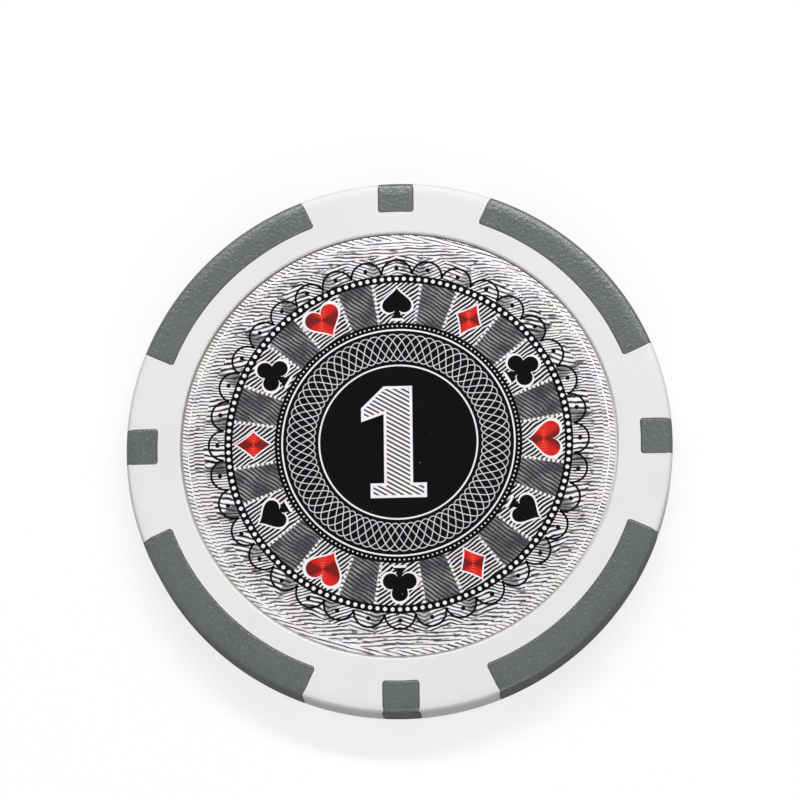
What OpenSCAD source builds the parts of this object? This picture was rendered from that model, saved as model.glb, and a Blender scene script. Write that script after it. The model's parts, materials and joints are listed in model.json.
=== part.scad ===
// Moulded casino-style chip: a steel slug gripped by a grey ring that carries the edge spots, a white
// body moulded round both, and a foil label stuck in the recess of each face.
// Millimetres. The origin is the centre of the back face, and +Z points out of the front face.

/* [Chip] */
// Diameter of the chip, over the parting ridge on its edge
chip_d = 40; // [34:0.5:50]
// Thickness of the chip at its rim
chip_t = 3.3; // [2.6:0.1:4.5]
// Radius that rounds the corners of the rim
rim_round = 0.3; // [0.1:0.05:0.6]

/* [Parting ridge] */
// Height of the mould's parting line above the back face
parting_z = 0.75; // [0.5:0.05:2]
// How far the ridge left by the parting line stands out
parting_proud = 0.03; // [0.01:0.01:0.1]
// Width of that ridge at its foot
parting_w = 0.14; // [0.06:0.02:0.3]

/* [Label recess] */
// Width of the rim, from the edge to the wall of the recess
rim_w = 4; // [3:0.1:6]
// Depth of the recess in each face
recess_depth = 0.3; // [0.2:0.05:0.5]
// Radius that rounds the lip of the recess
lip_round = 0.1; // [0.04:0.02:0.2]

/* [Edge spots] */
// Number of long spots, with a short one between each two
spot_pairs = 4; // [3:1:5]
// Depth of every spot, from the edge inwards
spot_depth = 2.32; // [1.5:0.02:3]
// Angle that a long spot spans at its inner end, in degrees
long_spot_angle = 49.5; // [20:0.5:58]
// How far the ends of a long spot lean from the radius, in degrees
end_lean = 4.6; // [0:0.2:8]
// Width of a short spot
short_spot_w = 2.65; // [1.5:0.05:4]
// Radius that rounds the inner corners of the spots
spot_round = 0.26; // [0.08:0.02:0.5]

/* [Ring inside the rim] */
// Width of the ring between the slug's edge and the inner ends of the spots
ring_w = 2; // [1:0.1:3]
// How far the ring reaches out past the inner ends of the spots
ring_root = 0.3; // [0.1:0.05:0.8]
// Thickness of the two lips that hold the slug
lip_t = 0.2; // [0.1:0.05:0.3]
// How far the lips reach in over the slug
lip_grip = 0.6; // [0.2:0.1:1.5]
// Thickness of the white skin between the ring and the floor of a recess
skin_t = 0.25; // [0.15:0.05:0.4]

/* [Steel slug] */
// Chamfer on both edges of the slug
slug_chamfer = 0.15; // [0.05:0.05:0.4]

/* [Labels] */
// Gap between a label's edge and the wall of its recess
label_gap = 0.15; // [0.05:0.05:0.6]
// Thickness of the foil
label_t = 0.1; // [0.05:0.01:0.2]
// Thickness of the adhesive under the foil
adhesive_t = 0.05; // [0.02:0.01:0.1]

/* [Hidden] */
$fn = 180;

edge_r = chip_d / 2 - parting_proud;
spot_r = edge_r - spot_depth;
recess_r = edge_r - rim_w;
label_r = recess_r - label_gap;
slug_r = spot_r - ring_w;

// Levels from the back face upwards
ring_z = recess_depth + skin_t;
slug_z = ring_z + lip_t;
ring_t = chip_t - 2 * ring_z;
slug_t = chip_t - 2 * slug_z;
front_floor_z = chip_t - recess_depth;

spot_pitch = 360 / spot_pairs;

// A spot's end is a straight line at angle lean_in to the spot's middle line. It passes the chip's axis at
// distance offset, so this is the point at length along on that line, moved in towards the middle by inset.
function end_point(along, lean_in, offset, inset = 0) =
    let (level = offset - inset)
    [along * cos(lean_in) - level * sin(lean_in), along * sin(lean_in) + level * cos(lean_in)];

// Length along such a line at which it is a given radius from the chip's axis
function length_at(radius, offset) = sqrt(pow(radius, 2) - pow(offset, 2));

// Waste outside the arc that rounds one inner corner of a spot
module spot_corner_waste(lean_in, offset) {
    turn_r = spot_r + spot_round;
    along = length_at(turn_r, offset - spot_round);
    centre = end_point(along, lean_in, offset, spot_round);
    past_end = end_point(along, lean_in, offset, -spot_round);
    past_arc = centre * (spot_r - spot_round) / turn_r;
    difference() {
        polygon([centre, past_end, past_end + past_arc - centre, past_arc]);
        translate(centre) circle(spot_round);
    }
}

// Plan of one spot, lying along +X and running out past the edge of the chip
module spot_plan(lean_in, offset) {
    inner = end_point(length_at(slug_r, offset), lean_in, offset);
    outer = end_point(chip_d, lean_in, offset);
    difference() {
        polygon([inner, outer, [outer.x, -outer.y], [inner.x, -inner.y]]);
        circle(spot_r);
        spot_corner_waste(lean_in, offset);
        mirror([0, 1]) spot_corner_waste(lean_in, offset);
    }
}

// All the spots as blocks that stand out of both faces
module spot_blocks() {
    long_lean_in = long_spot_angle / 2 - end_lean;
    long_offset = spot_r * sin(end_lean);
    for (i = [0 : spot_pairs - 1])
        translate([0, 0, -chip_t]) {
            rotate(i * spot_pitch)
                linear_extrude(3 * chip_t) spot_plan(0, short_spot_w / 2);
            rotate((i + 0.5) * spot_pitch)
                linear_extrude(3 * chip_t) spot_plan(long_lean_in, long_offset);
        }
}

// Waste outside a rounded corner at the origin, where the material lies towards -X and -Y
module round_waste(radius) {
    difference() {
        translate([-radius, -radius]) square(2 * radius);
        translate([-radius, -radius]) circle(radius);
    }
}

// Half section of the recess in the face that looks along +Y, with its floor depth below the face
module recess_section() {
    translate([0, -recess_depth]) square([recess_r, 2 * recess_depth]);
    translate([recess_r, 0]) mirror([1, 0]) round_waste(lip_round);
}

// Half section of the whole moulding
module chip_section() {
    difference() {
        square([edge_r, chip_t]);
        translate([edge_r, chip_t]) round_waste(rim_round);
        translate([edge_r, 0]) mirror([0, 1]) round_waste(rim_round);
        translate([0, chip_t]) recess_section();
        mirror([0, 1]) recess_section();
    }
    translate([edge_r, parting_z])
        polygon([[-parting_proud, -parting_w / 2], [0, -parting_w / 2], [parting_proud, 0],
                 [0, parting_w / 2], [-parting_proud, parting_w / 2]]);
}

module chip_blank() {
    rotate_extrude() chip_section();
}

// Ring with its two lips, before the slug is taken out
module ring_blank() {
    inner_r = slug_r - lip_grip;
    rotate_extrude()
        translate([inner_r, ring_z]) square([spot_r + ring_root - inner_r, ring_t]);
}

module slug_blank() {
    rotate_extrude()
        translate([0, slug_z])
            polygon([[0, 0], [slug_r - slug_chamfer, 0], [slug_r, slug_chamfer],
                     [slug_r, slug_t - slug_chamfer], [slug_r - slug_chamfer, slug_t], [0, slug_t]]);
}

// White second shot, with room for everything that it was moulded round
module chip_body() {
    color([0.91, 0.91, 0.90])
        difference() {
            chip_blank();
            spot_blocks();
            ring_blank();
            slug_blank();
        }
}

// Grey first shot: the spots, flush with the body, and the ring that joins them
module spot_frame() {
    color([0.42, 0.44, 0.43])
        difference() {
            union() {
                intersection() {
                    chip_blank();
                    spot_blocks();
                }
                ring_blank();
            }
            slug_blank();
        }
}

module steel_slug() {
    color([0.62, 0.63, 0.65]) slug_blank();
}

module label_disc(level, thickness) {
    translate([0, 0, level]) cylinder(r = label_r, h = thickness);
}

module front_label_adhesive() {
    color([0.93, 0.90, 0.80]) label_disc(front_floor_z, adhesive_t);
}

module front_label() {
    color([0.80, 0.80, 0.82]) label_disc(front_floor_z + adhesive_t, label_t);
}

module back_label_adhesive() {
    color([0.93, 0.90, 0.80]) label_disc(recess_depth - adhesive_t, adhesive_t);
}

module back_label() {
    color([0.80, 0.80, 0.82]) label_disc(recess_depth - adhesive_t - label_t, label_t);
}

chip_body();
spot_frame();
steel_slug();
front_label_adhesive();
front_label();
back_label_adhesive();
back_label();
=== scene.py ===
import json
import math
import bmesh
import bpy
from mathutils import Matrix, Vector

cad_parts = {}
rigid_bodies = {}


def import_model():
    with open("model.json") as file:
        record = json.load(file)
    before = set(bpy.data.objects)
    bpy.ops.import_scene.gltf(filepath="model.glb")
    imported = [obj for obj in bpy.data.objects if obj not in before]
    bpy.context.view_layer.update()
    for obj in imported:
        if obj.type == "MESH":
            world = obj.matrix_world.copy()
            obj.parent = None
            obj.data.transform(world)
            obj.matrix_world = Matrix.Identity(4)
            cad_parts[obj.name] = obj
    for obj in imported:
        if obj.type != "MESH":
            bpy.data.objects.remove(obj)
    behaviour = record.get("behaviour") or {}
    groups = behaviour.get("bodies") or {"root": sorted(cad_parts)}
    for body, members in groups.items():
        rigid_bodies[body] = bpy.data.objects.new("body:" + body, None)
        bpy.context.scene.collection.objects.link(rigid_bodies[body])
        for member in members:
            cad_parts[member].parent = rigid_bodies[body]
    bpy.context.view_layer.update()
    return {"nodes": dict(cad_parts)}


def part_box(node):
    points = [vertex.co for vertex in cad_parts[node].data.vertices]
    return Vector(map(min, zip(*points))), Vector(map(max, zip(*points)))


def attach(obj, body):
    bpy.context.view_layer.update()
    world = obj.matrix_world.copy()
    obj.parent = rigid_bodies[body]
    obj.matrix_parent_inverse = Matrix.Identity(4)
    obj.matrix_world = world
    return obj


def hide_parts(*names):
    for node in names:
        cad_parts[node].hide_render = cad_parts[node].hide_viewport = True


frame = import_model()
scene = bpy.context.scene
perMetre = 1000  # pieces are modelled in millimetres, and settle brings them to metres


# camera, in the chip's own frame in millimetres, at the photograph's angle

view = {
    "place": (10.06, -54.61, 214.88),
    "right": (0.9987, -0.0106, -0.0496),
    "up": (0.0233, 0.9648, 0.2621),
    "lens": 135,
    "sensor": 36,
    "clipStart": 10,
}


def makeCamera():
    camera = bpy.data.objects.new("camera", bpy.data.cameras.new("camera"))
    scene.collection.objects.link(camera)
    right = Vector(view["right"]).normalized()
    back = right.cross(Vector(view["up"])).normalized()
    up = back.cross(right)
    turn = Matrix((right, up, back)).transposed().to_4x4()
    camera.matrix_world = Matrix.Translation(Vector(view["place"]) / perMetre) @ turn
    camera.data.lens = view["lens"]
    camera.data.sensor_width = view["sensor"]
    camera.data.clip_start = view["clipStart"] / perMetre
    scene.camera = camera


makeCamera()
print("camera placed")


# modelling helpers

slack = {"place": 0.002, "circle": 0.004, "drawn": 0.01,
         "upright": 0.001, "merge": 0.0005}  # millimetres by which places may differ
angles = {"sharp": 60, "slight": 30, "smooth": 35, "level": 0.2}  # degrees between two faces
squareOn = 0.99  # share of a unit normal that lies along an axis, where a face looks along it


def freshStart():
    if bpy.context.mode != "OBJECT":
        bpy.ops.object.mode_set(mode="OBJECT")
    bpy.ops.object.select_all(action="DESELECT")


def begin(name, primitive, **shape):
    freshStart()
    primitive(**shape)
    piece = bpy.context.object
    piece.name = name
    bpy.ops.object.transform_apply(location=True, rotation=True, scale=True)
    return piece


def choose(*pieces):
    freshStart()
    for piece in pieces:
        piece.select_set(True)
    bpy.context.view_layer.objects.active = pieces[0]


def edit(piece):
    choose(piece)
    bpy.ops.object.mode_set(mode="EDIT")


def pick(kind, test):
    bpy.ops.mesh.select_mode(type=kind)
    bpy.ops.mesh.select_all(action="DESELECT")
    data = bpy.context.object.data
    mesh = bmesh.from_edit_mesh(data)
    parts = {"VERT": mesh.verts, "EDGE": mesh.edges, "FACE": mesh.faces}[kind]
    for part in parts:
        if test(part):
            part.select_set(True)
    mesh.select_flush_mode()
    bmesh.update_edit_mesh(data)


def near(a, b, within=slack["place"]):
    return abs(a - b) < within


def reach(point):
    return math.hypot(point.x, point.y)


def edgeMiddle(edge):
    return (edge.verts[0].co + edge.verts[1].co) / 2


def isSharp(edge, degrees=angles["sharp"]):
    return len(edge.link_faces) == 2 and edge.calc_face_angle() > math.radians(degrees)


def isUpright(edge):
    ends = edge.verts[0].co - edge.verts[1].co
    return reach(ends) < slack["upright"]


def isLevel(face):
    return abs(face.normal.z) > squareOn


def roundEdges(radius, steps):
    bpy.ops.mesh.bevel(offset=radius, segments=steps, profile=0.5, affect="EDGES", clamp_overlap=False)


def extrude(*shift):
    bpy.ops.mesh.extrude_region_move(TRANSFORM_OT_translate={"value": shift})


def resize(shares, centre=(0, 0, 0)):
    bpy.ops.transform.resize(value=shares, center_override=centre)


def cutAcross(place, direction):
    bpy.ops.mesh.select_all(action="SELECT")
    bpy.ops.mesh.bisect(plane_co=place, plane_no=direction)


def useModifier(piece, kind, **settings):
    choose(piece)
    modifier = piece.modifiers.new(kind.title(), kind)
    for key, value in settings.items():
        setattr(modifier, key, value)
    bpy.ops.object.modifier_apply(modifier=modifier.name)


def combine(piece, tool, operation):
    useModifier(piece, "BOOLEAN", object=tool, operation=operation, solver="MANIFOLD")


def copyOf(piece, name, turn=(0, 0, 0), shift=(0, 0, 0)):
    choose(piece)
    bpy.ops.object.duplicate(linked=False)
    copy = bpy.context.object
    copy.name = name
    copy.rotation_euler = turn
    copy.location = shift
    bpy.ops.object.transform_apply(location=True, rotation=True, scale=True)
    return copy


def joinAll(name, pieces):
    choose(*pieces)
    bpy.ops.object.join()
    joined = bpy.context.object
    joined.name = name
    return joined


def discard(*pieces):
    choose(*pieces)
    bpy.ops.object.delete()


def cleanMesh(piece):
    edit(piece)
    bpy.ops.mesh.select_all(action="SELECT")
    bpy.ops.mesh.remove_doubles(threshold=slack["merge"])
    bpy.ops.mesh.normals_make_consistent(inside=False)
    freshStart()


def settle(piece, finish, stands=()):
    choose(piece)
    bpy.ops.object.shade_smooth_by_angle(angle=math.radians(angles["smooth"]))
    useModifier(piece, "WEIGHTED_NORMAL", keep_sharp=True)  # large flats stay flat beside small rounds
    piece.scale = (1 / perMetre,) * 3
    bpy.ops.object.transform_apply(location=False, rotation=False, scale=True)
    piece.data.materials.clear()
    piece.data.materials.append(finish)
    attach(piece, "root")
    if stands:
        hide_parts(*stands)


# shader helpers

mixSockets = {"RGBA": (6, 7, 2), "FLOAT": (2, 3, 0)}  # a Mix node's two inputs and its output


class Wire:
    def __init__(self, finish, socket):
        self.finish = finish
        self.socket = socket

    def __add__(self, other):
        return self.finish.maths("ADD", self, other)

    def __sub__(self, other):
        return self.finish.maths("SUBTRACT", self, other)

    def __rsub__(self, other):
        return self.finish.maths("SUBTRACT", other, self)

    def __mul__(self, other):
        return self.finish.maths("MULTIPLY", self, other)

    def __truediv__(self, other):
        return self.finish.maths("DIVIDE", self, other)

    __radd__ = __add__
    __rmul__ = __mul__


class Finish:
    def __init__(self, name, world=None):
        self.material = world or bpy.data.materials.new(name)
        self.material.use_nodes = True
        self.tree = self.material.node_tree
        self.shader = self.tree.nodes.get("Principled BSDF")

    def add(self, kind, settings=None, inputs=None, output=0):
        node = self.tree.nodes.new(kind)
        for key, value in (settings or {}).items():
            if key == "stops":
                ramp = node.color_ramp
                while len(ramp.elements) < len(value):
                    ramp.elements.new(0.5)
                for element, (place, colour) in zip(ramp.elements, value):
                    element.position = place
                    element.color = (*colour, 1)
            else:
                setattr(node, key, value)
        for key, value in (inputs or {}).items():
            if isinstance(value, Wire):
                self.tree.links.new(value.socket, node.inputs[key])
            else:
                node.inputs[key].default_value = value
        return Wire(self, node.outputs[output])

    def maths(self, operation, first, second=0.0):
        return self.add("ShaderNodeMath", {"operation": operation}, {0: first, 1: second})

    def place(self):
        spot = self.add("ShaderNodeTexCoord", output="Object")
        return self.add("ShaderNodeMapping", {"vector_type": "POINT"},
                        {"Vector": spot, "Scale": (perMetre,) * 3})

    def parts(self, vector):
        node = self.add("ShaderNodeSeparateXYZ", inputs={"Vector": vector}).socket.node
        return [Wire(self, socket) for socket in node.outputs]

    def noise(self, vector, scale, detail=2.0, roughness=0.5):
        return self.add("ShaderNodeTexNoise", {"noise_dimensions": "3D"},
                        {"Vector": vector, "Scale": scale, "Detail": detail, "Roughness": roughness})

    def step(self, value, low, high, fromValue=0.0, toValue=1.0):
        return self.add("ShaderNodeMapRange", {"interpolation_type": "SMOOTHSTEP"},
                        {"Value": value, "From Min": low, "From Max": high,
                         "To Min": fromValue, "To Max": toValue})

    def mix(self, kind, factor, first, second, style="MIX"):
        one, other, mixed = mixSockets[kind]
        return self.add("ShaderNodeMix", {"data_type": kind, "blend_type": style},
                        {0: factor, one: first, other: second}, output=mixed)

    def blend(self, factor, first, second, style="MIX"):
        return self.mix("RGBA", factor, asColour(first), asColour(second), style)

    def bump(self, height, strength, distance, under=None):
        sockets = {"Height": height, "Strength": strength, "Distance": distance / perMetre}
        if under:
            sockets["Normal"] = under
        return self.add("ShaderNodeBump", inputs=sockets)

    def feed(self, **values):
        names = {"colour": "Base Color", "roughness": "Roughness", "metallic": "Metallic",
                 "normal": "Normal", "specular": "Specular IOR Level"}
        for key, value in values.items():
            socket = self.shader.inputs[names[key]]
            if isinstance(value, Wire):
                self.tree.links.new(value.socket, socket)
            else:
                socket.default_value = value
        return self.material


def asColour(value):
    return value if isinstance(value, Wire) else (*value, 1)


def outward(f, spot):
    x, y, z = f.parts(spot)
    return f.maths("SQRT", x * x + y * y)


def polar(f, spot):
    x, y, z = f.parts(spot)
    return outward(f, spot), f.maths("ARCTAN2", y, x)


def slanted(f, spot, degrees):
    x, y, z = f.parts(spot)
    slant = math.radians(degrees)
    return y * math.cos(slant) - x * math.sin(slant)


def stretched(f, spot, scales):
    return f.add("ShaderNodeVectorMath", {"operation": "MULTIPLY"}, {0: spot, 1: scales})


def swung(noise, swing):
    return (noise - 0.5) * swing


# plastic finishes: a noise has a scale, a detail and a roughness, and a bump a strength and a height

whitePlastic = {
    "base": (0.805, 0.793, 0.78),
    "shade": (0.785, 0.772, 0.76),
    "drift": (0.16, 3),
    "driftSteps": (0.35, 0.7),
    "grain": (7.0, 4, 0.6),
    "bump": (0.12, 0.02),
    "roughness": 0.42,
    "unevenness": 0.18,
    "specular": 0.4,
}
greyPlastic = {
    "base": (0.088, 0.101, 0.097),
    "shade": (0.069, 0.080, 0.077),
    "drift": (0.3, 3),
    "grain": (3.6, 3, 0.65),
    "mottleSteps": (0.3, 0.7),
    "bump": (0.9, 0.05),
    "speck": (0.34, 0.36, 0.35),
    "speckNoise": (8.0, 1),
    "speckSteps": (0.60, 0.70),
    "patchSteps": (0.3, 0.6),  # where on the drift the specks lie
    "speckStrength": 0.3,
    "paintedEdgeShade": (0.030, 0.034, 0.033),
    "roughness": 0.28,
    "unevenness": 0.2,
    "specular": 0.65,
}
wornShadedEdge = {"start": 19.86, "end": 19.97, "roughness": 0.55}  # the edge is rubbed dull in racks, and the grey's edge wall is also painted darker as shade
scuffs = {"colour": (0.095, 0.104, 0.101), "stretch": (0.35, 0.35, 7.0), "noise": (1.0, 3),
          "steps": (0.58, 0.76), "strength": 0.5}  # drawn out along the edge


def wornShadedBand(f, spot):
    return f.step(outward(f, spot), wornShadedEdge["start"], wornShadedEdge["end"])


def edgeScuffs(f, spot):
    marks = f.noise(stretched(f, spot, scuffs["stretch"]), *scuffs["noise"])
    return f.step(marks, *scuffs["steps"])


paintedGrooveShade = {"colour": (0.33, 0.31, 0.30), "reach": 16.02, "soft": 0.05, "depths": (0.12, 0.24),
               "slant": 25, "spread": 10, "least": 0.1}  # painted shade in the groove round the labels, darker on one side


# painted shade: darkens the white in the groove round each label, more on one side
def paintedLabelShade(f, spot):
    x, y, z = f.parts(spot)
    half = chip["thickness"] / 2
    depth = half - f.maths("ABSOLUTE", z - half)  # below the nearer face
    inside = f.step(outward(f, spot), paintedGrooveShade["reach"], paintedGrooveShade["reach"] - paintedGrooveShade["soft"])
    spread = paintedGrooveShade["spread"]
    shadedSide = f.step(slanted(f, spot, paintedGrooveShade["slant"]), -spread, spread, paintedGrooveShade["least"], 1.0)
    return f.step(depth, *paintedGrooveShade["depths"]) * inside * shadedSide


def whiteFinish():
    f = Finish("white plastic")
    spot = f.place()
    drift = f.step(f.noise(spot, *whitePlastic["drift"]), *whitePlastic["driftSteps"])
    grain = f.noise(spot, *whitePlastic["grain"])
    colour = f.blend(drift, whitePlastic["base"], whitePlastic["shade"])
    # painted shade in the groove round the label
    colour = f.blend(paintedLabelShade(f, spot), colour, paintedGrooveShade["colour"])
    roughness = whitePlastic["roughness"] + swung(grain, whitePlastic["unevenness"])
    return f.feed(colour=colour, roughness=roughness + wornShadedBand(f, spot) * wornShadedEdge["roughness"],
                  normal=f.bump(grain, *whitePlastic["bump"]), specular=whitePlastic["specular"])


def greyFinish():
    f = Finish("grey plastic")
    spot = f.place()
    drift = f.noise(spot, *greyPlastic["drift"])
    grain = f.noise(spot, *greyPlastic["grain"])
    mottle = f.step(drift + grain - 0.5, *greyPlastic["mottleSteps"])
    colour = f.blend(mottle, greyPlastic["base"], greyPlastic["shade"])
    specks = f.step(f.noise(spot, *greyPlastic["speckNoise"]), *greyPlastic["speckSteps"])
    specks = specks * f.step(drift, *greyPlastic["patchSteps"])
    colour = f.blend(specks * greyPlastic["speckStrength"], colour, greyPlastic["speck"])
    # painted shade: the grey's edge wall is darker, with real scuffs drawn on it
    wornShaded = wornShadedBand(f, spot)
    colour = f.blend(wornShaded, colour, greyPlastic["paintedEdgeShade"])
    colour = f.blend(wornShaded * edgeScuffs(f, spot) * scuffs["strength"], colour, scuffs["colour"])
    roughness = greyPlastic["roughness"] + swung(grain, greyPlastic["unevenness"])
    return f.feed(colour=colour, roughness=roughness + wornShaded * wornShadedEdge["roughness"],
                  normal=f.bump(grain, *greyPlastic["bump"]), specular=greyPlastic["specular"])


# the chip's two mouldings

chip = {
    "radius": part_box("spot_frame")[1].x * perMetre,
    "thickness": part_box("spot_frame")[1].z * perMetre,
    "segments": 360,
    "rimRound": 0.3,
    "rimWidth": 4.0,
    "rimSteps": 6,
    "crownWidth": 1.0,  # the rim falls away gently over this, before it rounds
    "crownDrop": 0.07,
    "crownPower": 3,
    "crownSteps": 5,
    "recessDepth": 0.3,
    "lipRound": 0.2,
    "lipSteps": 5,
    "ridgeHeight": 0.75,
    "ridgeProud": 0.03,
    "ridgeWidth": 0.14,
}
edgeRadius = chip["radius"] - chip["ridgeProud"]


def makeDrum(name, radius, low, high):
    return begin(name, bpy.ops.mesh.primitive_cylinder_add, vertices=chip["segments"],
                 radius=radius, depth=high - low, location=(0, 0, (low + high) / 2))


def dropCrown(level, down):
    flatEnd = edgeRadius - chip["rimRound"] - chip["crownWidth"]
    shares = [i / chip["crownSteps"] for i in range(1, chip["crownSteps"])]
    for i in range(chip["rimSteps"] + 1):
        out = math.sin(math.pi / 2 * i / chip["rimSteps"])
        shares.append(1 + out * chip["rimRound"] / chip["crownWidth"])
    for share in shares:
        radius = flatEnd + share * chip["crownWidth"]
        pick("VERT", lambda v: abs(v.co.z - level) < chip["thickness"] / 2
             and near(reach(v.co), radius, slack["circle"]))
        drop = share ** chip["crownPower"] * chip["crownDrop"]
        bpy.ops.transform.translate(value=(0, 0, down * drop))


def makeBlank(name):
    half = chip["thickness"] / 2
    blank = makeDrum(name, edgeRadius, 0, chip["thickness"])
    edit(blank)
    pick("EDGE", lambda e: near(abs(edgeMiddle(e).z - half), half))
    roundEdges(chip["rimRound"], chip["rimSteps"])
    for level, down in ((chip["thickness"], -1), (0, 1)):
        pick("FACE", lambda f: isLevel(f) and near(f.calc_center_median().z, level))
        for i in range(chip["crownSteps"]):
            bpy.ops.mesh.inset(thickness=chip["crownWidth"] / chip["crownSteps"])
        bpy.ops.mesh.inset(thickness=chip["rimWidth"] - chip["rimRound"] - chip["crownWidth"])
        extrude(0, 0, down * chip["recessDepth"])
        pick("EDGE", lambda e: near(edgeMiddle(e).z, level) and isSharp(e))
        roundEdges(chip["lipRound"], chip["lipSteps"])
        dropCrown(level, down)
    for rise in (-0.5, 0, 0.5):
        cutAcross((0, 0, chip["ridgeHeight"] + rise * chip["ridgeWidth"]), (0, 0, 1))
    pick("VERT", lambda v: near(v.co.z, chip["ridgeHeight"]))
    stretch = chip["radius"] / edgeRadius
    resize((stretch, stretch, 1))
    freshStart()
    return blank


spots = {
    "pairs": 4,
    "depth": 2.32,
    "longAngle": 49.5,
    "endLean": 4.6,
    "shortWidth": 2.65,
    "cornerRound": 0.26,
    "cornerSteps": 5,
    "cornerRoom": 1.3,    # how far from a corner the arc is cleared, in radii of the round
    "seamRound": 0.13,
    "bodySeamRound": 0.04,
    "seamSteps": 3,
    "seamMargin": 0.05,   # how far inside the spots' arc a sharp edge still counts as a seam
    "creepStart": 0.5,    # how far in from the edge the white starts to creep over the spots
    "creep": ((0.0, 0.0), (0.17, -0.07), (0.36, 0.12)),  # depth below a face, and the widening there
    "blockReach": 1.6,    # how far out the cutting blocks run, in radii of the chip
    "ringWidth": 2.0,
    "ringRoot": 0.3,
    "lipGrip": 0.6,
    "lipThickness": 0.2,
    "holePast": 1,        # how far the ring's cutter runs past both faces
    "slugChamfer": 0.15,
}
spotRadius = edgeRadius - spots["depth"]


def creepEnds(block, halfAt, places):
    edit(block)
    for place in places:
        cutAcross((place, 0, 0), (1, 0, 0))
    for depth, widening in spots["creep"]:
        for level in (depth, chip["thickness"] - depth):
            cutAcross((0, 0, level), (0, 0, 1))
            for place in places[1:]:
                half = halfAt(place)
                pick("VERT", lambda v: near(v.co.x, place) and near(v.co.z, level))
                resize((1, 1 + widening / half, 1))
    freshStart()


def isOnArc(edge):
    return near(reach(edgeMiddle(edge)), spotRadius) and isUpright(edge)


def roundCorners(block, endAngle):
    side = spotRadius * math.sin(endAngle)
    room = spots["cornerRoom"] * spots["cornerRound"]
    edit(block)
    pick("EDGE", lambda e: isOnArc(e) and not isSharp(e, angles["slight"])
         and near(abs(edgeMiddle(e).y), side, room))
    bpy.ops.mesh.dissolve_edges(use_verts=True)  # leaves the round room on the arc
    pick("EDGE", lambda e: isOnArc(e) and isSharp(e))
    roundEdges(spots["cornerRound"], spots["cornerSteps"])
    freshStart()


def makeSpotBlock(name, halfAt, endAngle):
    inner = spotRadius - spots["ringWidth"]
    outer = chip["radius"] * spots["blockReach"]
    block = begin(name, bpy.ops.mesh.primitive_cube_add, size=1,
                  location=((inner + outer) / 2, 0, chip["thickness"] / 2),
                  scale=(outer - inner, 1, chip["thickness"] * 2))
    edit(block)
    for end in (inner, outer):
        pick("VERT", lambda v: near(v.co.x, end))
        resize((1, 2 * halfAt(end), 1))
    rim = edgeRadius * math.cos(endAngle)
    creepEnds(block, halfAt, (rim - spots["creepStart"], rim, outer))
    core = makeDrum("core", spotRadius, -2 * chip["thickness"], 2 * chip["thickness"])
    combine(block, core, "DIFFERENCE")
    discard(core)
    roundCorners(block, endAngle)
    return block


def makeSpotBlocks():
    half = math.radians(spots["longAngle"] / 2)
    slope = math.tan(half - math.radians(spots["endLean"]))
    foot = spotRadius * (math.cos(half) - math.sin(half) / slope)
    longBlock = makeSpotBlock("longBlock", lambda x: (x - foot) * slope, half)
    shortHalf = spots["shortWidth"] / 2
    shortBlock = makeSpotBlock("shortBlock", lambda x: shortHalf, math.asin(shortHalf / spotRadius))
    pitch = 2 * math.pi / spots["pairs"]
    blocks = []
    for i in range(spots["pairs"]):
        blocks.append(copyOf(shortBlock, "block", turn=(0, 0, i * pitch)))
        blocks.append(copyOf(longBlock, "block", turn=(0, 0, (i + 0.5) * pitch)))
    discard(longBlock, shortBlock)
    return joinAll("spotBlocks", blocks)


slugLow, slugHigh = (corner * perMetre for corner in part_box("steel_slug"))


def makeRing():
    lip = spots["lipThickness"]
    past = spots["holePast"]
    ring = makeDrum("ring", spotRadius + spots["ringRoot"], slugLow.z - lip, slugHigh.z + lip)
    hole = makeDrum("hole", slugHigh.x - spots["lipGrip"], -past, chip["thickness"] + past)
    combine(ring, hole, "DIFFERENCE")
    discard(hole)
    return ring


def makeSlug():
    slug = makeDrum("slug", slugHigh.x, slugLow.z, slugHigh.z)
    edit(slug)
    pick("EDGE", isSharp)
    roundEdges(spots["slugChamfer"], 1)
    freshStart()
    return slug


def roundSeams(piece, radius):
    cleanMesh(piece)
    edit(piece)
    bpy.ops.mesh.select_all(action="SELECT")
    # makes one face where several lie flat
    bpy.ops.mesh.dissolve_limited(angle_limit=math.radians(angles["level"]))
    start = spotRadius - spots["seamMargin"]
    pick("EDGE", lambda e: isSharp(e) and reach(edgeMiddle(e)) > start)
    roundEdges(radius, spots["seamSteps"])
    freshStart()


def makeMouldings():
    blank = makeBlank("blank")
    blocks = makeSpotBlocks()
    ring = makeRing()
    slug = makeSlug()
    body = copyOf(blank, "body_moulding")
    combine(body, blocks, "DIFFERENCE")
    roundSeams(body, spots["bodySeamRound"])
    combine(body, ring, "DIFFERENCE")
    combine(body, slug, "DIFFERENCE")
    spotFrame = copyOf(blank, "spot_moulding")
    combine(spotFrame, blocks, "INTERSECT")
    roundSeams(spotFrame, spots["seamRound"])
    combine(spotFrame, ring, "UNION")
    combine(spotFrame, slug, "DIFFERENCE")
    discard(blank, blocks, ring, slug)
    settle(body, whiteFinish(), ["chip_body"])
    settle(spotFrame, greyFinish(), ["spot_frame"])


makeMouldings()
print("mouldings made")


# foil and ink finishes

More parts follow.
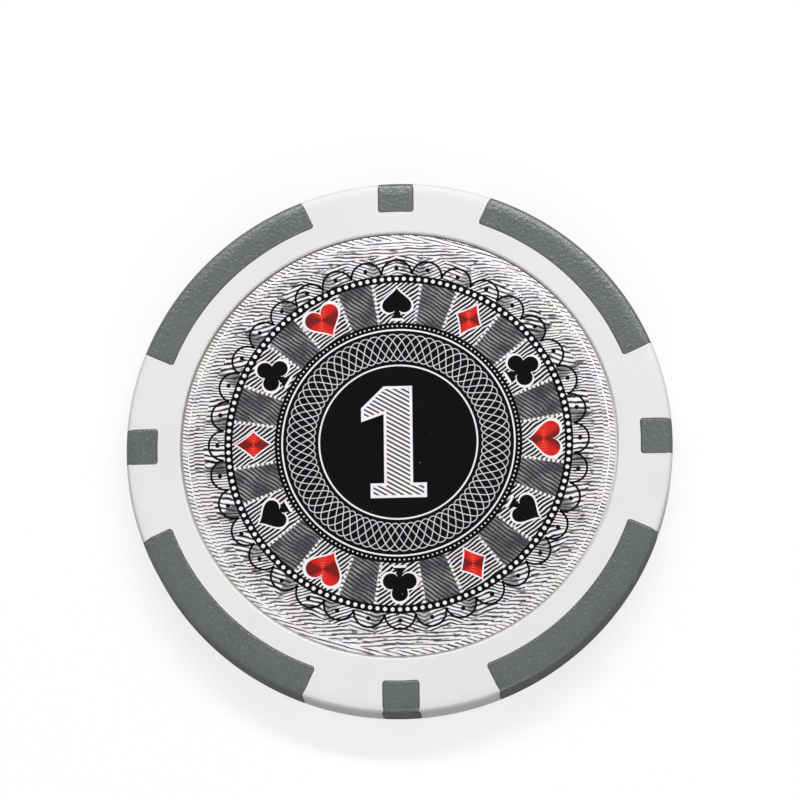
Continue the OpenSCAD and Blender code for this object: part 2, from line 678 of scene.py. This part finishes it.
foil = {
    "line": (0.87, 0.87, 0.89),
    "gap": (0.008, 0.008, 0.010),
    "pitch": 0.27,
    "sheen": (0.4, 3),
    "sheenSteps": (0.25, 0.75),
    "tints": ((0.0, (1.0, 0.99, 0.97)), (0.3, (1.0, 0.90, 0.93)), (0.45, (1.0, 0.97, 0.96)),
              (0.6, (0.93, 0.91, 1.0)), (0.75, (1.0, 0.99, 0.90)), (1.0, (1.0, 0.94, 0.95))),
    "tintStrength": 0.8,
    "dark": ((0.030, 0.030, 0.034), (0.062, 0.062, 0.070)),
    "darkGrain": (9.0, 2),
    "darkSteps": (0.3, 0.7),
    "streaks": (0.7, 2),
    "streakSteps": (0.3, 0.75),
    "streakStrengths": (0.05, 0.4),  # of the faintest and the clearest lines on the dark foil
    "waves": (0.2, 2),
    "waveBump": (0.3, 0.08),
    "lineBump": (0.3, 0.01),
    "smear": (0.9, 3),
    "roughness": 0.25,
    "unevenness": 0.25,
}


def zigzag(f, along):
    return f.maths("PINGPONG", along, 0.5) * 2  # 0 at whole numbers, and 1 half way between


def hatch(f, along, share, soft=0.25):
    gap = 1 - share
    return f.step(zigzag(f, along), gap - soft, gap + soft)


def silver(f, spot):
    sheen = f.step(f.noise(spot, *foil["sheen"]), *foil["sheenSteps"])
    tint = f.add("ShaderNodeValToRGB", {"stops": foil["tints"]}, {"Fac": sheen})
    return f.blend(foil["tintStrength"], foil["line"], tint, "MULTIPLY")


def darkFoil(f, spot, lines):
    grain = f.step(f.noise(spot, *foil["darkGrain"]), *foil["darkSteps"])
    streaks = f.step(f.noise(spot, *foil["streaks"]), *foil["streakSteps"], *foil["streakStrengths"])
    return f.blend(lines * streaks, f.blend(grain, *foil["dark"]), foil["line"])


def foilLook(f, spot, lines, colour):
    relief = f.bump(f.noise(spot, *foil["waves"]), *foil["waveBump"])
    smear = swung(f.noise(spot, *foil["smear"]), foil["unevenness"])
    return f.feed(colour=colour, metallic=1.0, roughness=foil["roughness"] + smear,
                  normal=f.bump(lines, *foil["lineBump"], relief))


outerFoil = {
    "chevrons": 24,
    "bend": 0.6,
    "sway": 0.35,
    "swayNoise": (0.55, 2),
    "seams": (14.25, 15.0),  # radii at which the lines break and shift
    "shifts": (0.4, 0.3),    # share of the pitch that they shift by there
    "ticks": 15.4,           # slanted ticks from here to the edge
    "tickSlant": -17,
    "seamSoft": 0.03,
    "share": 0.55,
    "shareDrift": 0.7,
    "shareNoise": (1.1, 3),
    "shareRise": 0.1,        # past the outer seam
    "lineSoft": 0.18,
    "wobble": 0.4,
    "wobbleNoise": (1.5, 2),
    "cloud": (0.3, 3),
    "cloudSteps": (0.3, 0.7),
    "gaps": (0.0, 0.08),     # darkest and palest gap between the lines
    "gapRise": 0.06,         # past the inner seam
    "dashStretch": (1.1, 3.4, 0.0),
    "dashNoise": (1.0, 1),
    "dashSteps": (0.62, 0.68),
    "dashStrength": 0.75,
    "dashFade": 0.4,         # past the outer seam
    "rays": 24,
    "rayWidth": 0.3,
    "rayTip": 14.9,
    "rayTipWidth": -0.06,    # below 0, so that a ray runs to a point
    "rayFoot": 12.9,
    "raySoft": 0.05,
    "rayStrength": 0.55,
    "raySideShade": 0.4,  # painted shade: the rays darker towards the sides of the label
}


def outerRays(f, far, turn):
    ray = zigzag(f, turn * (outerFoil["rays"] / (2 * math.pi)) + 0.5)
    width = f.add("ShaderNodeMapRange", {"clamp": True},
                  {"Value": far, "From Min": outerFoil["rayFoot"], "From Max": outerFoil["rayTip"],
                   "To Min": outerFoil["rayWidth"], "To Max": outerFoil["rayTipWidth"]})
    shade = 1 - f.step(ray - width, -outerFoil["raySoft"], outerFoil["raySoft"])
    # painted shade: the rays grow darker towards the left and right of the label
    paintedSideShade = f.maths("ABSOLUTE", f.maths("COSINE", turn))
    return shade * (outerFoil["rayStrength"] + paintedSideShade * outerFoil["raySideShade"])


def outerFoilFinish():
    f = Finish("outer foil")
    spot = f.place()
    x, y, z = f.parts(spot)
    far, turn = polar(f, spot)
    seams = (*outerFoil["seams"], outerFoil["ticks"])
    soft = outerFoil["seamSoft"]
    inner, outer, ticks = (f.step(far, seam - soft, seam + soft) for seam in seams)
    chevron = zigzag(f, turn * (outerFoil["chevrons"] / (2 * math.pi))) * (1 - inner)
    sway = swung(f.noise(spot, *outerFoil["swayNoise"]), outerFoil["sway"])
    lift = y + chevron * outerFoil["bend"] + sway
    along = f.mix("FLOAT", ticks, lift, slanted(f, spot, outerFoil["tickSlant"])) / foil["pitch"]
    innerShift, outerShift = outerFoil["shifts"]
    wobble = swung(f.noise(spot, *outerFoil["wobbleNoise"]), outerFoil["wobble"])
    along = along + inner * innerShift + outer * outerShift + wobble
    drift = swung(f.noise(spot, *outerFoil["shareNoise"]), outerFoil["shareDrift"])
    share = outerFoil["share"] + drift + outer * outerFoil["shareRise"]
    lines = hatch(f, along, share, outerFoil["lineSoft"])
    cloud = f.noise(spot, *outerFoil["cloud"])
    haze = f.step(cloud, *outerFoil["cloudSteps"], *outerFoil["gaps"]) + inner * outerFoil["gapRise"]
    bright = silver(f, spot)
    colour = f.blend(lines, f.blend(haze, foil["gap"], bright), bright)
    dashes = f.noise(stretched(f, spot, outerFoil["dashStretch"]), *outerFoil["dashNoise"])
    dashes = f.step(dashes, *outerFoil["dashSteps"])
    faded = outerFoil["dashStrength"] - outer * outerFoil["dashFade"]
    colour = f.blend(dashes * faded, colour, foil["gap"])
    colour = f.blend(outerRays(f, far, turn), colour, darkFoil(f, spot, lines))
    return foilLook(f, spot, lines, colour)


bandFoil = {
    "cells": 12,
    "wedge": 0.56,
    "wedgeSoft": 0.02,
    "border": (0.025, 0.05),
    "slant": 36,
    "sway": 0.4,
    "swayNoise": (0.6, 2),
    "share": 0.38,
    "streakShare": 0.4,
    "dotPitch": 0.34,
    "dotSize": 0.55,
    "dotSoft": 0.2,
}


def bandFoilFinish():
    f = Finish("band foil")
    spot = f.place()
    far, turn = polar(f, spot)
    sway = swung(f.noise(spot, *bandFoil["swayNoise"]), bandFoil["sway"])
    slant, back = (slanted(f, spot, side * bandFoil["slant"]) + sway for side in (1, -1))
    lines = hatch(f, slant / foil["pitch"], bandFoil["share"])
    streaks = hatch(f, back / foil["pitch"], bandFoil["streakShare"])
    cell = zigzag(f, turn * (bandFoil["cells"] / (2 * math.pi)))
    past = cell - bandFoil["wedge"]
    wedge = f.step(past, -bandFoil["wedgeSoft"], bandFoil["wedgeSoft"])
    border = 1 - f.step(f.maths("ABSOLUTE", past), *bandFoil["border"])
    dots = border * hatch(f, far / bandFoil["dotPitch"], bandFoil["dotSize"], bandFoil["dotSoft"])
    bright = silver(f, spot)
    colour = f.blend(wedge, f.blend(lines, foil["gap"], bright), darkFoil(f, spot, streaks))
    colour = f.blend(dots, colour, bright)
    return foilLook(f, spot, lines * (1 - wedge), colour)


turnedFoil = {"middle": 7.14, "strands": 6, "waves": 12, "swing": 1.02, "line": 0.05, "soft": 0.03}


def strandLine(f, far, turn, share):
    phase = turn * turnedFoil["waves"] + 2 * math.pi * share
    path = turnedFoil["middle"] + f.maths("SINE", phase) * turnedFoil["swing"]
    slope = f.maths("COSINE", phase) * (turnedFoil["swing"] * turnedFoil["waves"]) / far
    away = f.maths("ABSOLUTE", far - path) / f.maths("SQRT", slope * slope + 1)
    half = turnedFoil["line"] / 2
    return 1 - f.step(away, half - turnedFoil["soft"], half + turnedFoil["soft"])


def turnedFoilFinish():
    f = Finish("engine turned foil")
    spot = f.place()
    far, turn = polar(f, spot)
    count = turnedFoil["strands"]
    lace = strandLine(f, far, turn, 0)
    for i in range(1, count):
        lace = f.maths("MAXIMUM", lace, strandLine(f, far, turn, i / count))
    return foilLook(f, spot, lace, f.blend(lace, foil["gap"], silver(f, spot)))


numeralFoil = {"slant": -30, "pitch": 0.3, "share": 0.58}


def numeralFinish():
    f = Finish("numeral foil")
    spot = f.place()
    along = slanted(f, spot, numeralFoil["slant"]) / numeralFoil["pitch"]
    lines = hatch(f, along, numeralFoil["share"])
    return foilLook(f, spot, lines, f.blend(lines, foil["gap"], silver(f, spot)))


silverPrint = {"grain": (4.0, 2)}


def silverFinish():
    f = Finish("silver print")
    spot = f.place()
    return foilLook(f, spot, f.noise(spot, *silverPrint["grain"]), silver(f, spot))


blackInk = {
    "deep": (0.0022, 0.0025, 0.0032),
    "film": (0.0045, 0.0048, 0.0058),
    "filmNoise": (0.4, 3),
    "dust": (0.30, 0.30, 0.31),
    "dustNoise": (2.8, 1),
    "dustSteps": (0.80, 0.84),
    "dustStrength": 0.4,
    "roughness": 0.32,
    "unevenness": 0.2,
    "specular": 0.04,
}


def blackInkFinish():
    f = Finish("black ink")
    spot = f.place()
    film = f.noise(spot, *blackInk["filmNoise"])
    dust = f.step(f.noise(spot, *blackInk["dustNoise"]), *blackInk["dustSteps"])
    colour = f.blend(film, blackInk["deep"], blackInk["film"])
    colour = f.blend(dust * blackInk["dustStrength"], colour, blackInk["dust"])
    return f.feed(colour=colour, roughness=blackInk["roughness"] + swung(film, blackInk["unevenness"]),
                  specular=blackInk["specular"])


# the red's shade colour and glint are painted shade and a painted highlight: each pip is darker towards
# its sides and glints up and down along its rings
redInk = {
    "full": (0.66, 0.008, 0.004),
    "shade": (0.16, 0.003, 0.002),
    "paintedShadeSteps": (-0.2, 0.8),
    "paintedGlintColour": (1.0, 0.16, 0.10),
    "paintedGlintSteps": (-0.4, -1.0),
    "paintedGlintReach": (1.4, 0.2),
    "paintedGlintStrength": 0.6,
    "pitch": 0.2,
    "share": 0.45,
    "soft": 0.4,
    "bump": (0.3, 0.01),
    "roughness": 0.34,
    "ringRoughness": 0.1,
    "specular": 0.2,
}


def redInkFinish():
    f = Finish("red ink")
    local = f.add("ShaderNodeUVMap", {"uv_map": "local"})
    far, turn = polar(f, local)
    rings = hatch(f, far / redInk["pitch"], redInk["share"], redInk["soft"])
    paintedLightFan = f.maths("COSINE", turn * 2)  # painted light: 1 towards the sides, where the pip is painted in shade, and -1 up and down, where its rings get a painted glint
    colour = f.blend(f.step(paintedLightFan, *redInk["paintedShadeSteps"]), redInk["full"], redInk["shade"])
    paintedGlint = rings * f.step(paintedLightFan, *redInk["paintedGlintSteps"]) * f.step(far, *redInk["paintedGlintReach"])
    colour = f.blend(paintedGlint * redInk["paintedGlintStrength"], colour, redInk["paintedGlintColour"])
    return f.feed(colour=colour, roughness=redInk["roughness"] + rings * redInk["ringRoughness"],
                  normal=f.bump(rings, *redInk["bump"]), specular=redInk["specular"])


# labels: a foil disc in each recess, with its print in thin layers on it

label = {
    "radius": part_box("front_label")[1].x * perMetre,
    "low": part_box("front_label")[0].z * perMetre,
    "top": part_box("front_label")[1].z * perMetre,
    "edgeRoll": 0.03,
    "rollSteps": 2,
    "ink": 0.012,         # thickness of a printed layer
    "bandRadius": 12.15,  # the foil's pattern changes here
    "lineSides": 180,
    "beadSides": 12,
}


def makeFoil():
    disc = makeDrum("foil", label["radius"], label["low"], label["top"])
    edit(disc)
    pick("EDGE", lambda e: near(edgeMiddle(e).z, label["top"]) and isSharp(e))
    roundEdges(label["edgeRoll"], label["rollSteps"])
    pick("FACE", lambda f: isLevel(f) and f.normal.z > 0)
    bpy.ops.mesh.inset(thickness=label["radius"] - label["edgeRoll"] - label["bandRadius"])
    freshStart()
    return disc


def paintBand(disc, finish):
    disc.data.materials.append(finish)
    for face in disc.data.polygons:
        inside = face.center.xy.length * perMetre < label["bandRadius"] / 2
        if inside and isLevel(face):
            face.material_index = 1


def makeSpotFlat(name, radius, sides):
    return begin(name, bpy.ops.mesh.primitive_circle_add, vertices=sides, radius=radius,
                 fill_type="NGON")


def makeHoopFlat(name, radius, width, sides=label["lineSides"]):
    hoop = makeSpotFlat(name, radius + width / 2, sides)
    edit(hoop)
    bpy.ops.mesh.select_all(action="SELECT")
    bpy.ops.mesh.inset(thickness=width)
    bpy.ops.mesh.delete(type="FACE")
    freshStart()
    return hoop


def printed(flat, layer=0):
    useModifier(flat, "SOLIDIFY", thickness=label["ink"], offset=1.0)
    flat.location.z = label["top"] + layer * label["ink"]
    bpy.ops.object.transform_apply(location=True, rotation=False, scale=False)
    return flat


def ringOf(pattern, count, radius, start=0.0):
    copies = []
    for i in range(count):
        angle = start + 2 * math.pi * i / count
        place = (-radius * math.sin(angle), radius * math.cos(angle), 0)
        copies.append(copyOf(pattern, "copy", turn=(0, 0, angle), shift=place))
    discard(pattern)
    return copies


def makeBeads(count, radius, size, layer=0):
    return ringOf(printed(makeSpotFlat("bead", size, label["beadSides"]), layer), count, radius)


# card suits, drawn round their own middle and then set round the band

suits = {
    "height": 2.4,
    "radius": 10.6,
    "count": 12,
    "kinds": 4,
    "halo": 1.16,
    "curveSides": 64,
    "spade": (0.82, 0.09),   # size and lift of the heart in it, as shares of the height
    "diamond": (0.4, 0.52),  # half its width and half its height, as shares of the height
    "diamondBend": 2.24,     # over 2, so that the sides curve in a little
    "diamondSides": 48,
    "lobe": 0.245,           # radius of a club's lobes and their places, as shares of the height
    "lobes": ((0, 0.28), (-0.265, -0.09), (0.265, -0.09), (0, 0.05)),
    "lobeSides": 32,
    "stem": (0.4, 0.5),      # width at the foot and height, as shares of the height
    "stemTaper": ((0.25, 0.52), (0.5, 0.34), (0.75, 0.26), (1.0, 0.22)),  # how far up, and how wide
}


def shapeFlat(name, sides, outline):
    flat = makeSpotFlat(name, 1, sides)
    for vertex in flat.data.vertices:
        vertex.co.x, vertex.co.y = outline(math.atan2(vertex.co.x, vertex.co.y))
    return flat


def heartOutline(t, share=1.0):
    scale = share * suits["height"] / 29  # the curve below is 29 units tall, with its middle 2.5 down
    x = 16 * math.sin(t) ** 3
    y = 13 * math.cos(t) - 5 * math.cos(2 * t) - 2 * math.cos(3 * t) - math.cos(4 * t)
    return x * scale, (y + 2.5) * scale


def spadeOutline(t):
    size, lift = suits["spade"]
    x, y = heartOutline(t, size)
    return -x, lift * suits["height"] - y  # the heart turned half round


def diamondOutline(t):
    ends = zip((math.sin(t), math.cos(t)), suits["diamond"])
    return [math.copysign(abs(part) ** suits["diamondBend"], part) * share * suits["height"]
            for part, share in ends]


def makeStem():
    low = -suits["height"] / 2
    width, height = (share * suits["height"] for share in suits["stem"])
    middle = (0, low + height / 2, 0)
    stem = begin("stem", bpy.ops.mesh.primitive_plane_add, size=1, location=middle)
    edit(stem)
    bpy.ops.mesh.select_all(action="SELECT")
    resize((width, height, 1), middle)
    bpy.ops.mesh.subdivide(number_cuts=len(suits["stemTaper"]) - 1)
    for share, narrow in suits["stemTaper"]:
        pick("VERT", lambda v: near(v.co.y, low + share * height, slack["drawn"]))
        resize((narrow, 1, 1))
    freshStart()
    return stem


def fused(flats):
    whole, *rest = [printed(flat, 1) for flat in flats]
    for other in rest:
        combine(whole, other, "UNION")
        discard(other)
    return whole


def makeHeart():
    return fused([shapeFlat("heart", suits["curveSides"], heartOutline)])


def makeDiamond():
    return fused([shapeFlat("diamond", suits["diamondSides"], diamondOutline)])


def makeSpade():
    return fused([shapeFlat("spade", suits["curveSides"], spadeOutline), makeStem()])


def makeClub():
    height = suits["height"]
    lobe = makeSpotFlat("lobe", suits["lobe"] * height, suits["lobeSides"])
    lobes = [copyOf(lobe, "lobe", shift=(x * height, y * height, 0)) for x, y in suits["lobes"]]
    discard(lobe)
    return fused(lobes + [makeStem()])


def keepLocal(pip):
    for layer in list(pip.data.uv_layers):
        pip.data.uv_layers.remove(layer)
    low = Vector((min(v.co.x for v in pip.data.vertices), min(v.co.y for v in pip.data.vertices)))
    high = Vector((max(v.co.x for v in pip.data.vertices), max(v.co.y for v in pip.data.vertices)))
    layer = pip.data.uv_layers.new(name="local")
    for loop in pip.data.loops:
        layer.data[loop.index].uv = pip.data.vertices[loop.vertex_index].co.xy - (low + high) / 2


def setRound(pip, place):
    return ringOf(pip, suits["count"] // suits["kinds"], suits["radius"],
                  place * 2 * math.pi / suits["count"])


def makeSuits(makers, first):
    pips = []
    for i, maker in enumerate(makers):
        pips += setRound(maker(), first + 2 * i)
    for pip in pips:
        keepLocal(pip)
    return pips


def makeHalos():
    halos = []
    for i, maker in enumerate((makeSpade, makeHeart, makeClub, makeDiamond)):
        halo = maker()
        choose(halo)
        halo.scale = (suits["halo"], suits["halo"], 1)
        halo.location.z = -label["ink"]  # under the suit
        bpy.ops.object.transform_apply(location=True, rotation=False, scale=True)
        halos += setRound(halo, i)
    return halos


# lines and dots: a radius and a width, or a count, a radius and a size

ornament = {
    "centre": 9.05,
    "beadBand": (12.45, 0.6),
    "bandBeads": (144, 12.45, 0.15),
    "centreBeads": (160, 8.8, 0.06),
    "silverRings": ((8.5, 0.12), (5.78, 0.12)),
    "turnedRing": (7.14, 2.4),
    "scallops": (36, 12.78, 0.16),
    "scallopSides": 32,
    "pearls": (36, 13.25, 0.17),
}


def makeScallops(count, radius, width):
    arch = makeHoopFlat("arch", radius * math.pi / count, width, ornament["scallopSides"])
    edit(arch)
    pick("VERT", lambda v: v.co.y < -slack["drawn"])
    bpy.ops.mesh.delete(type="VERT")
    freshStart()
    return ringOf(printed(arch), count, radius)


def makeBlackPrint():
    layers = [printed(makeSpotFlat("centre", ornament["centre"], label["lineSides"])),
              printed(makeHoopFlat("beadBand", *ornament["beadBand"]))]
    layers += makeScallops(*ornament["scallops"])
    layers += makeBeads(*ornament["pearls"])
    layers += makeSuits((makeSpade, makeClub), 0)
    return joinAll("blackPrint", layers)


def makeSilverPrint(numeralFrame):
    layers = [printed(makeHoopFlat("ring", *ring), 1) for ring in ornament["silverRings"]]
    layers += makeBeads(*ornament["bandBeads"], layer=1)
    layers += makeBeads(*ornament["centreBeads"], layer=1)
    layers += makeHalos()
    return joinAll("silverPrint", layers + [numeralFrame])


# numeral

numeral = {
    "height": 8.4,
    "stem": 2.1,
    "serif": 1.0,
    "serifHeight": 1.1,
    "flag": (-1.65, -1.1),
    "flagHeight": 2.1,
    "flagTip": 0.5,  # share of that height at the tip
    "frame": 0.2,
}


def makeNumeral():
    half = numeral["height"] / 2
    serifTop = numeral["serifHeight"] - half
    flagLow = half - numeral["flagHeight"]
    figure = begin("numeral", bpy.ops.mesh.primitive_cube_add, size=1,
                   scale=(numeral["stem"], numeral["height"], 1))
    edit(figure)
    for height in (serifTop, flagLow):
        cutAcross((0, height, 0), (0, 1, 0))
    for side in (-1, 1):
        pick("FACE", lambda f: f.normal.x * side > squareOn and f.calc_center_median().y < serifTop)
        extrude(side * numeral["serif"], 0, 0)
    pick("FACE", lambda f: f.normal.x < -squareOn and f.calc_center_median().y > flagLow)
    extrude(*numeral["flag"], 0)
    tip = half - numeral["flagHeight"] / 2 + numeral["flag"][1]
    resize((1, numeral["flagTip"], 1), (0, tip, 0))
    pick("FACE", lambda f: f.normal.z < squareOn)
    bpy.ops.mesh.delete(type="FACE")
    bpy.ops.mesh.select_all(action="SELECT")
    bpy.ops.transform.translate(value=(0, 0, -0.5))  # the top face of the cube comes down to the label
    bpy.ops.mesh.inset(thickness=numeral["frame"])
    bpy.ops.mesh.separate(type="SELECTED")
    freshStart()
    filling = next(piece for piece in bpy.data.objects if piece.name.startswith("numeral.0"))
    return printed(figure, 1), printed(filling, 1)


def onBothFaces(name, piece, finish, stands=None):
    back = copyOf(piece, "back_" + name, turn=(math.pi, 0, 0), shift=(0, 0, chip["thickness"]))
    piece.name = "front_" + name
    for side, made in (("front", piece), ("back", back)):
        settle(made, finish, [f"{side}_{stands}"] if stands else ())
    return piece, back


def makeLabels():
    bandFinish = bandFoilFinish()
    for disc in onBothFaces("foil", makeFoil(), outerFoilFinish(), "label"):
        paintBand(disc, bandFinish)
    onBothFaces("black_print", makeBlackPrint(), blackInkFinish())
    redSuits = makeSuits((makeHeart, makeDiamond), 1)
    onBothFaces("red_print", joinAll("redPrint", redSuits), redInkFinish())
    turnedRing = makeHoopFlat("turned", *ornament["turnedRing"])
    onBothFaces("turned_ring", printed(turnedRing, 1), turnedFoilFinish())
    numeralFrame, filling = makeNumeral()
    onBothFaces("numeral", filling, numeralFinish())
    onBothFaces("silver_print", makeSilverPrint(numeralFrame), silverFinish())


makeLabels()
print("labels made")


# steel and adhesive of the pieces that stay as they are

slugSteel = {"colours": ((0.50, 0.51, 0.53), (0.62, 0.62, 0.63)), "stretch": (0.2, 6.0, 6.0),
             "noise": (1.0, 4), "bump": (0.1, 0.01), "roughness": 0.3, "unevenness": 0.2}
labelGlue = {"colours": ((0.74, 0.71, 0.60), (0.82, 0.80, 0.72)), "noise": (1.2, 3),
             "bump": (0.15, 0.02), "roughness": 0.35, "unevenness": 0.2}


def steelFinish():
    f = Finish("slug steel")
    grain = f.noise(stretched(f, f.place(), slugSteel["stretch"]), *slugSteel["noise"])
    return f.feed(colour=f.blend(grain, *slugSteel["colours"]), metallic=1.0,
                  roughness=slugSteel["roughness"] + grain * slugSteel["unevenness"],
                  normal=f.bump(grain, *slugSteel["bump"]))


def adhesiveFinish():
    f = Finish("label adhesive")
    cloud = f.noise(f.place(), *labelGlue["noise"])
    return f.feed(colour=f.blend(cloud, *labelGlue["colours"]),
                  roughness=labelGlue["roughness"] + cloud * labelGlue["unevenness"],
                  normal=f.bump(cloud, *labelGlue["bump"]))


frame["nodes"]["steel_slug"].material_slots[0].material = steelFinish()
adhesive = adhesiveFinish()
for side in ("front", "back"):
    frame["nodes"][f"{side}_label_adhesive"].material_slots[0].material = adhesive
print("inner pieces finished")


# floor and light, in metres

studio = {
    "floorColour": (0.2, 0.2, 0.2),   # what the floor throws back on the chip
    "floorLook": (1.0, 1.0, 1.0),     # what the camera and reflections see
    "floorSize": 3.0,
    "floorLift": 0.75,
    "floorRoughness": 0.9,
    "overhead": 0.45,
    "lamps": (("softbox", (0.18, 1.25, 1.29), (1.8, 0.2), 28.0),  # name, place, size and power
              ("front panel", (0.30, -1.50, 1.23), (1.35, 1.35), 11.7)),
}


def seenDirectly(f):
    node = f.add("ShaderNodeLightPath").socket.node
    seen = [Wire(f, node.outputs[name]) for name in
            ("Is Camera Ray", "Is Glossy Ray", "Is Transmission Ray")]
    return f.maths("MINIMUM", seen[0] + seen[1] + seen[2], 1.0)


def makeFloor():
    freshStart()
    bpy.ops.mesh.primitive_plane_add(size=studio["floorSize"])
    floor = bpy.context.object
    floor.name = "floor"
    f = Finish("pale floor")
    seen = seenDirectly(f)
    f.feed(colour=f.blend(seen, studio["floorColour"], studio["floorLook"]),
           roughness=studio["floorRoughness"], specular=0.0)
    paintedGlint = f.add("ShaderNodeEmission", inputs={"Color": asColour(studio["floorLook"]), "Strength": 1.0})
    mix = f.add("ShaderNodeMixShader", inputs={0: seen * studio["floorLift"],
                                               1: Wire(f, f.shader.outputs[0]), 2: paintedGlint})
    f.tree.links.new(mix.socket, f.tree.nodes["Material Output"].inputs["Surface"])
    floor.data.materials.append(f.material)


def makeLight():
    world = bpy.data.worlds.new("studio")
    scene.world = world
    sky = Finish("studio", world)
    x, y, z = sky.parts(sky.add("ShaderNodeTexCoord", output="Generated"))
    overhead = sky.maths("MAXIMUM", z, 0.0) * studio["overhead"]
    level = sky.step(seenDirectly(sky), 0.0, 1.0, overhead, 1.0)
    background = sky.tree.nodes["Background"]
    sky.tree.links.new(level.socket, background.inputs["Strength"])
    background.inputs["Color"].default_value = (1, 1, 1, 1)
    for name, place, size, power in studio["lamps"]:
        lamp = bpy.data.lights.new(name, "AREA")
        lamp.shape = "RECTANGLE"
        lamp.size, lamp.size_y = size
        lamp.energy = power
        panel = bpy.data.objects.new(name, lamp)
        scene.collection.objects.link(panel)
        panel.location = place
        panel.rotation_euler = (-Vector(place)).to_track_quat("-Z", "Y").to_euler()


makeFloor()
makeLight()
scene.view_settings.view_transform = "Standard"
print("studio lit")
